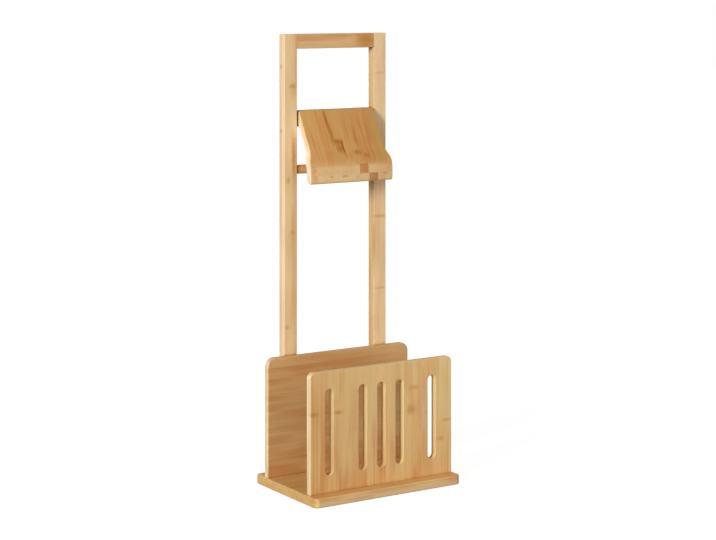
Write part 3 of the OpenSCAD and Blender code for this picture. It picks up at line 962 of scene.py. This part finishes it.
SLOPE_MARKS = (
    (-15.5, 597.5, 7, 13, 0.64),
    (-8.5, 587, 28, 3.5, 0.80),
    (-15, 586, 14, 10, 0.50),
    (-28.5, 637, 30, 4.5, 0.62),
    (-25.5, 612, 34, 5.5, 0.46),
    (17.5, 577.5, 7, 12, 0.42),
    (34.5, 571.5, 6, 9, 0.32),
    (22, 604, 32, 5, 0.30),
    (8, 618, 36, 3, 0.22),
    (52, 618, 38, 3, 0.20),
    (-66, 600, 34, 4, 0.20),
)
LIP_MARKS = (
    (-43, 538.5, 2.5, 4.5, 0.42),
    (-15, 538.5, 2.5, 10.5, 0.42),
    (70, 540, 3, 10, 0.22),
)
# Painted shadow: the rod's left end, darkened where the left upright shades it
ROD_PAINTED_SHADOW = (
    (-83, 548.5, 10, 30, 0.88),
)

# How far behind the left upright's front the marks on its side lie
SIDE_MARKS_IN = 12 * MM

# The cover's plies lie a little flatter than its slope, so that its front ply ends on the nose
COVER_PLY_HEADING = math.radians(32)

# Where the cover's strips are counted from along X, and its plies square to them
COVER_STRIPS_FROM = -67 * MM
COVER_PLIES_FROM = -287.1 * MM

# The tint of the cover's front ply, number 0, and of the one before it, so that it fades at neither.
# It darkens the slope, partly as the wood's own tone and partly as painted shade on a face that tilts up
COVER_FRONT_TONE_AND_SHADE = (0.86, 0.71, 0.50)


def placed(marks, y):
    """Marks at the depth y, with points in metres for their centres."""
    return [((x * MM, y, z * MM), half_l * MM, half_w * MM, strength)
            for x, z, half_l, half_w, strength in marks]


def placed_on_slope(marks):
    """Marks on the cover's slope, with points in metres for their centres."""
    form = Cover()
    on_slope = []
    for mark in marks:
        down = form.top_z - mark[1] * MM
        on_slope += placed([mark], form.slope_top[0] - down * math.tan(COVER_SLOPE))
    return on_slope


def base_wood():
    return bamboo(
        "bamboo_base", "base_board", RIGHT, BACK, strip=20 * MM, ply=8 * MM, seed=11, cane=0.3,
        tint=(1.03, 1.11, 1.22),
        # Painted shade: the left face is tinted darker and the top deeper orange than the front
        faces=((LEFT, (0.74, 0.70, 0.50), None), (UP, (1.11, 0.95, 0.71), None)),
    )


def front_panel_wood():
    """The front panel turns warmer and darker towards its lower left corner."""
    down_left = Vector((-0.9, 0, -1.6))
    middle = Vector((0, 0, 120 * MM))
    return bamboo(
        "bamboo_front_panel", "front_panel", UP, RIGHT, strip=19 * MM, ply=6 * MM, seed=5, cane=0.2,
        tint=(1.07, 1.07, 1.01), lean=(down_left, middle),
        # Painted highlight: faces towards the left are tinted less orange, and the left end paler still,
        # as bleached by the lamp from the left
        faces=((LEFT, (1.17, 1.35, 1.86), 145 * MM), (LEFT, (0.86, 1.0, 1.10), None)),
        own=((0, 0, 0.48, -0.02), (1, 0, 0.50, -0.05), (10, 0, 0.62, 0.02), (11, 0, 0.70, 0.02),
             (12, 0, 0.60, 0.01), (14, 0, 0.46, -0.08), (15, 0, 0.46, -0.08)),
        marks=placed(PANEL_MARKS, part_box("front_panel")[0].y),
    )


def back_panel_wood():
    return bamboo(
        "bamboo_back_panel", "back_panel", RIGHT, UP, strip=19 * MM, ply=6 * MM, seed=7, warmth=0.1,
        # Painted highlight: the left end is tinted much paler, as bleached by the lamp from the left
        cane=0.3, streaks=0.55, tint=(0.90, 0.86, 0.79), faces=((LEFT, (1.06, 1.50, 2.3), None),),
    )


def left_upright_wood():
    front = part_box("left_upright")[0].y
    return bamboo(
        "bamboo_left_upright", "left_upright", UP, RIGHT, strip=13 * MM, ply=9 * MM, seed=3, cane=0.15,
        tint=(1.25, 1.36, 1.64), plies=((1, (0.82, 0.88, 0.84), 0.0),),
        # Painted highlight: the left face is tinted a little paler, where the lamp from the left falls on
        # it
        faces=((LEFT, (0.95, 0.98, 1.14), None),), own=((0, 0, 0.34, -0.02), (1, 0, 0.62, 0.01)),
        marks=placed(LEFT_MARKS, front) + placed(LEFT_SIDE_MARKS, front + SIDE_MARKS_IN),
    )


def right_upright_wood():
    return bamboo(
        "bamboo_right_upright", "right_upright", UP, RIGHT, strip=13 * MM, ply=9 * MM, seed=4, cane=0.15,
        # Painted shade: the inner face, towards the left, is tinted darker
        tint=(1.26, 1.38, 1.72), faces=((LEFT, (0.68, 0.68, 0.57), None),),
        own=((0, 0, 0.50, 0.0), (1, 0, 0.30, 0.0)),
        marks=placed(RIGHT_MARKS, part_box("right_upright")[0].y),
    )


def rail_wood():
    return bamboo(
        "bamboo_rail", "top_rail", RIGHT, UP, strip=13 * MM, ply=9 * MM, seed=8, cane=0.2,
        tint=(1.08, 1.06, 1.10), own=((0, None, 0.40, 0.0), (1, None, 0.62, 0.03)),
        marks=placed(RAIL_MARKS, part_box("top_rail")[0].y),
    )


def cover_wood():
    """Plies 1 and 2, behind the front one, come to light on the lip, where a strip of each is darker. The
    front ply's darker tint on the slope is partly painted shade.
    """
    along = Vector((0, math.sin(COVER_PLY_HEADING), math.cos(COVER_PLY_HEADING)))
    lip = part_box("cover")[0].y
    return bamboo(
        "bamboo_cover", "cover", along, RIGHT, strip=18 * MM, ply=7.6 * MM, seed=9,
        start=(COVER_STRIPS_FROM, COVER_PLIES_FROM), warmth=0.08, spread=0.22, cane=0.1, streaks=0.95,
        # Painted highlight: the left end is tinted much paler, as bleached by the lamp from the left
        soft=0.36, faces=((LEFT, (1.17, 1.65, 2.70), None),),
        plies=((-1, COVER_FRONT_TONE_AND_SHADE, 0.0), (0, COVER_FRONT_TONE_AND_SHADE, 0.0),
               (1, (1.10, 1.11, 1.16), 11 * MM), (2, (1.10, 1.18, 1.34), 13 * MM)),
        own=((-1, 0, 0.42, 0.02), (0, 0, 0.45, -0.02), (1, 0, 0.62, 0.02), (2, 0, 0.44, 0.04),
             (3, 0, 0.42, -0.02), (4, 0, 0.50, 0.02), (5, 0, 0.58, 0.05), (6, 0, 0.66, 0.04),
             (7, 0, 0.32, 0.05), (-2, 1, 0.70, 0.06), (-1, 1, 0.50, 0.02), (0, 1, 0.38, 0.05),
             (1, 1, 0.42, 0.02), (2, 1, 0.36, 0.05), (3, 1, 0.32, -0.03), (4, 1, 0.95, 0.32),
             (5, 1, 0.42, -0.02), (-2, 2, 0.65, 0.04), (5, 2, 1.0, 0.50)),
        marks=placed_on_slope(SLOPE_MARKS) + placed(LIP_MARKS, lip),
    )


def rod_wood():
    """The rod's strips and plies meet on its axis. Its left end is painted dark, as the shadow of the left
    upright.
    """
    low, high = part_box("holder_rod")
    axis = (low + high) / 2
    return bamboo(
        "bamboo_rod", "holder_rod", RIGHT, UP, strip=9 * MM, ply=9 * MM, seed=6, start=(axis.z, -axis.y),
        warmth=0.25, tint=(1.20, 1.22, 1.25), marks=placed(ROD_PAINTED_SHADOW, low.y),
    )


def bar_wood():
    """The bar is much darker than the rest, and its front darker still as painted shade."""
    return bamboo(
        "bamboo_bar", "cover_bar", RIGHT, UP, strip=14 * MM, ply=7 * MM, seed=12, warmth=0.3,
        # Painted shade: the front face is tinted darker still, as the shade beside the left upright
        tint=(0.44, 0.35, 0.22), faces=((FRONT, (0.58, 0.48, 0.36), None),),
    )


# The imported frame, and its box before anything is added to it
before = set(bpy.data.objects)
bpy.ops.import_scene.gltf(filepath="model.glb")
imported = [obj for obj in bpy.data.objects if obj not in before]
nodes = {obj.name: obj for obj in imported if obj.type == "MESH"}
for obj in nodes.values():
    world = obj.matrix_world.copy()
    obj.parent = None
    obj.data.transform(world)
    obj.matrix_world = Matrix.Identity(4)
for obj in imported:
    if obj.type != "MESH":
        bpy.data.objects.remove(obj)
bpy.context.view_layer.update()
bpy.context.scene.view_settings.view_transform = "Standard"

# The materials, and what wears them
woods = {
    "base_board": base_wood(),
    "front_panel": front_panel_wood(),
    "back_panel": back_panel_wood(),
    "left_upright": left_upright_wood(),
    "right_upright": right_upright_wood(),
    "top_rail": rail_wood(),
    "cover": cover_wood(),
    "holder_rod": rod_wood(),
    "cover_bar": bar_wood(),
}
woods["rail_dowels"] = woods["holder_rod"]
woods["bar_dowels"] = woods["holder_rod"]
brass = metal("brass", srgb(196, 164, 92), roughness=0.30, brushed=3000)
steel = metal("zinc_steel", srgb(190, 190, 194), roughness=0.32, brushed=2500)
pad_rubber = rubber("pad_rubber")

for name, node in nodes.items():
    if name in woods:
        dress(node, woods[name])
    elif name == "foot_pads":
        dress(node, pad_rubber)
    elif "leaf" in name:
        dress(node, brass)
    else:
        dress(node, steel)

# The pieces that take the place of plainer ones
add_cover(woods["cover"])
for name in ("front_panel_screws", "back_panel_screws", "upright_foot_screws"):
    add_screws(nodes[name], DOWN, steel, "frame")
add_screws(nodes["upright_panel_screws"], BACK, steel, "frame")
add_screws(nodes["bar_leaf_screws"], FRONT, brass, "frame")
add_screws(nodes["cover_leaf_screws"], BACK, brass, "cover")

# The camera, the floor and the light
add_camera()
add_floor()
for lamp in LAMPS:
    add_sun(*lamp)
light_world()
